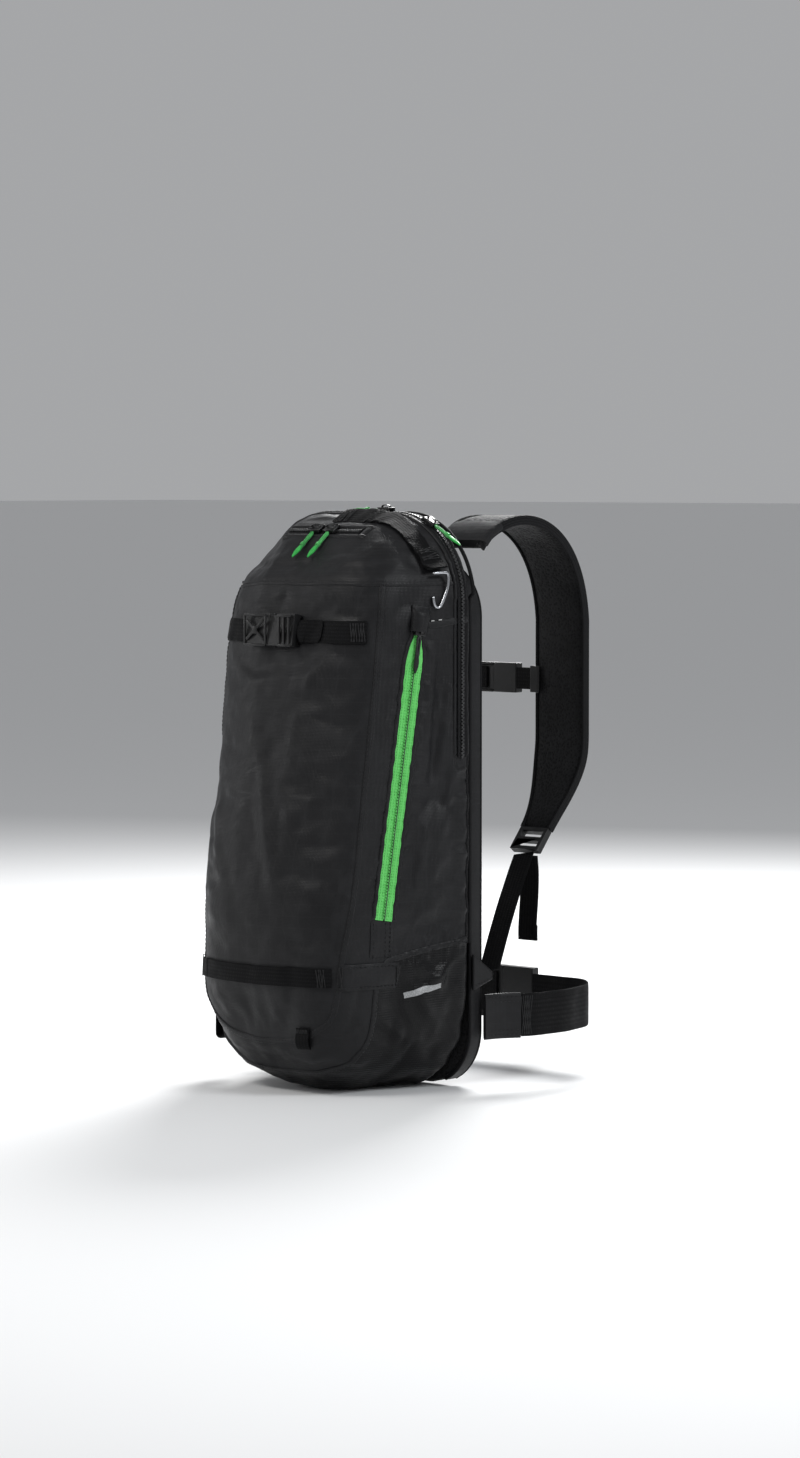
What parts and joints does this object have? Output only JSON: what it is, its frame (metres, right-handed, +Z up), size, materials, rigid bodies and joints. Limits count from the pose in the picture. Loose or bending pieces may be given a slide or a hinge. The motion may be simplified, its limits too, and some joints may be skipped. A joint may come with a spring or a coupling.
{
  "type": "ski backpack",
  "caption": "Slim ski touring backpack with a rounded top, side and top zips, compression straps, padded back, shoulder straps, sternum strap and hip belt.",
  "frame": {"origin": "on the flat base that the bag stands on, below the middle of the bag's body", "axes": "+Z up, -Y the outer face, +Y towards the wearer, +X the wearer's right"},
  "size_m": [0.2752, 0.3368, 0.505],
  "materials": {
    "shell_fabric": "matt ripstop weave",
    "base_fabric": "slightly glossy coated weave",
    "webbing": "woven tape",
    "green_tape": "woven zip tape and cord",
    "pad_fabric": "matt mesh over foam",
    "black_plastic": "moulded",
    "sheet_plastic": "smooth sheet",
    "steel_wire": "polished wire"
  },
  "bodies": {
    "bag": {"base_panel": "base_fabric", "back_wall": "shell_fabric", "front_panel": "shell_fabric", "top_panel": "shell_fabric", "side_panel_right": "shell_fabric", "side_panel_left": "shell_fabric", "pocket_divider": "pad_fabric", "frame_sheet": "sheet_plastic", "side_zip_tape": "green_tape", "pocket_zip_tape": "webbing", "arch_zip_tape": "webbing", "side_zip_patch": "shell_fabric", "front_strap_left": "webbing", "front_strap_right": "webbing", "front_buckle_female": "black_plastic", "lower_strap": "webbing", "strap_sleeve_right": "shell_fabric", "strap_sleeve_left": "shell_fabric", "tool_loop": "webbing", "ski_strap": "webbing", "back_pad": "pad_fabric", "lumbar_pad": "pad_fabric", "shoulder_strap_right": "pad_fabric", "shoulder_strap_left": "pad_fabric", "ladder_lock_right": "black_plastic", "ladder_lock_left": "black_plastic", "lower_webbing_right": "webbing", "lower_webbing_left": "webbing", "webbing_tail_right": "webbing", "webbing_tail_left": "webbing", "strap_anchor_right": "shell_fabric", "strap_anchor_left": "shell_fabric"},
    "side_slider": {"side_zip_slider": "black_plastic"},
    "side_pull": {"side_zip_pull": "green_tape"},
    "pocket_slider_left": {"pocket_zip_slider_left": "black_plastic"},
    "pocket_pull_left": {"pocket_zip_pull_left": "green_tape"},
    "pocket_slider_right": {"pocket_zip_slider_right": "black_plastic"},
    "pocket_pull_right": {"pocket_zip_pull_right": "green_tape"},
    "arch_slider_left": {"arch_zip_slider_left": "black_plastic"},
    "arch_pull_left": {"arch_zip_pull_left": "green_tape"},
    "arch_slider_right": {"arch_zip_slider_right": "black_plastic"},
    "arch_pull_right": {"arch_zip_pull_right": "green_tape"},
    "front_clip": {"front_buckle_male": "black_plastic"},
    "sternum_strap": {"sternum_clip_right": "black_plastic", "sternum_clip_left": "black_plastic", "sternum_webbing_right": "webbing", "sternum_webbing_left": "webbing", "sternum_buckle_female": "black_plastic"},
    "sternum_clip": {"sternum_buckle_male": "black_plastic"},
    "hip_belt": {"hip_wing_right": "shell_fabric", "hip_wing_left": "shell_fabric", "hip_webbing_right": "webbing", "hip_webbing_left": "webbing", "hip_buckle_female": "black_plastic"},
    "hip_clip": {"hip_buckle_male": "black_plastic"},
    "haul_handle": {"haul_loop": "webbing"},
    "hook": {"ski_hook": "steel_wire"},
    "ski_loop": {"lower_ski_loop": "webbing"},
    "glide": {"tri_glide": "black_plastic"}
  },
  "joints": [
    {"name": "side_zip", "type": "slide", "parent": "bag", "child": "side_slider", "axis": [0.0347, 0.1388, 0.9897], "range_m": [-0.245, 0]},
    {"name": "side_pull_swing", "type": "hinge", "parent": "side_slider", "child": "side_pull", "pos_m": [0.10586, 0.01608, 0.39418], "axis": [-0.24, -0.9602, 0.1431], "range_deg": [0, 95]},
    {"name": "pocket_zip_left", "type": "slide", "parent": "bag", "child": "pocket_slider_left", "axis": [-1, 0, 0], "range_m": [0, 0.026]},
    {"name": "pocket_pull_left_swing", "type": "hinge", "parent": "pocket_slider_left", "child": "pocket_pull_left", "pos_m": [-0.009, 0.0046, 0.48263], "axis": [-1, 0, 0], "range_deg": [0, 95]},
    {"name": "pocket_zip_right", "type": "slide", "parent": "bag", "child": "pocket_slider_right", "axis": [1, 0, 0], "range_m": [0, 0.026]},
    {"name": "pocket_pull_right_swing", "type": "hinge", "parent": "pocket_slider_right", "child": "pocket_pull_right", "pos_m": [0.009, 0.0046, 0.48263], "axis": [-1, 0, 0], "range_deg": [0, 95]},
    {"name": "arch_zip_left", "type": "slide", "parent": "bag", "child": "arch_slider_left", "axis": [-1, 0, 0], "range_m": [0, 0.052]},
    {"name": "arch_pull_left_swing", "type": "hinge", "parent": "arch_slider_left", "child": "arch_pull_left", "pos_m": [0.0181, 0.062, 0.503], "axis": [0, 1, 0], "range_deg": [0, 95]},
    {"name": "arch_zip_right", "type": "hinge", "parent": "bag", "child": "arch_slider_right", "pos_m": [0.03925, 0.062, 0.425], "axis": [0, 1, 0], "range_deg": [0, 57]},
    {"name": "arch_pull_right_swing", "type": "hinge", "parent": "arch_slider_right", "child": "arch_pull_right", "pos_m": [0.08509, 0.062, 0.4886], "axis": [0, -1, 0], "range_deg": [0, 95]},
    {"name": "front_release", "type": "slide", "parent": "bag", "child": "front_clip", "axis": [1, 0, 0], "range_m": [0, 0.028]},
    {"name": "sternum_height", "type": "slide", "parent": "bag", "child": "sternum_strap", "axis": [0, 0, 1], "range_m": [-0.035, 0.035]},
    {"name": "sternum_release", "type": "slide", "parent": "sternum_strap", "child": "sternum_clip", "axis": [-1, 0, 0], "range_m": [0, 0.0215]},
    {"name": "hip_belt_swing", "type": "hinge", "parent": "bag", "child": "hip_belt", "pos_m": [0, 0.094, 0.062], "axis": [1, 0, 0], "range_deg": [-14, 35]},
    {"name": "hip_release", "type": "slide", "parent": "hip_belt", "child": "hip_clip", "axis": [-1, 0, 0], "range_m": [0, 0.03]},
    {"name": "haul_loop_swing", "type": "hinge", "parent": "bag", "child": "haul_handle", "pos_m": [0, 0.09, 0.474], "axis": [1, 0, 0], "range_deg": [-75, 0]},
    {"name": "ski_hook_swing", "type": "hinge", "parent": "bag", "child": "hook", "pos_m": [0.11017, 0.03539, 0.4491], "axis": [-0.2425, -0.9701, 0], "range_deg": [0, 110]},
    {"name": "ski_loop_swing", "type": "hinge", "parent": "bag", "child": "ski_loop", "pos_m": [-0.10798, 0, 0.1189], "axis": [0, 1, 0], "range_deg": [0, 85]},
    {"name": "tri_glide_slide", "type": "slide", "parent": "ski_loop", "child": "glide", "axis": [0, 0, 1], "range_m": [-0.035, 0.02]}
  ]
}
